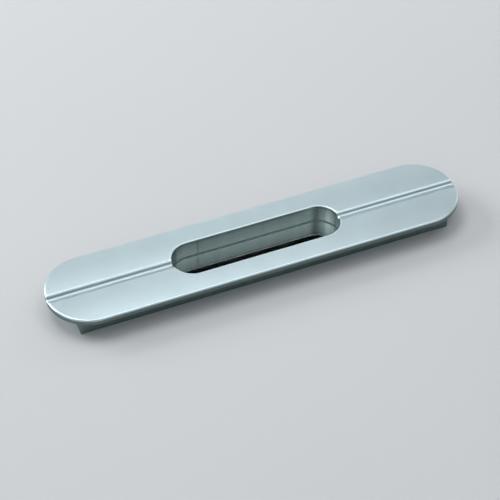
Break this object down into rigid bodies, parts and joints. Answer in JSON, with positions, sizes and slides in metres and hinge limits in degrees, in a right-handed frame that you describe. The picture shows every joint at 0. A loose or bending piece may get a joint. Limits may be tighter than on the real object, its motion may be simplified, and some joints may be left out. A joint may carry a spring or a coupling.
{
  "type": "recessed pull handle",
  "caption": "Long recessed pull with a face plate round at both ends, a finger pocket with a polished floor, a fine centre groove and a square body that drops into a door.",
  "frame": {"origin": "middle of the face plate's underside, on the plane that meets the door's face", "axes": "+X along the plate, +Y across it, +Z out of the door, up through the face plate"},
  "size_m": [0.2, 0.04, 0.0112],
  "materials": {
    "satin_aluminium": "satin, fine bead-blasted and anodised",
    "polished_floor": "polished",
    "screw_steel": "plain"
  },
  "bodies": {
    "root": {"face_plate": "satin_aluminium", "floor_plate": "polished_floor", "floor_screws": "screw_steel"}
  },
  "joints": []
}
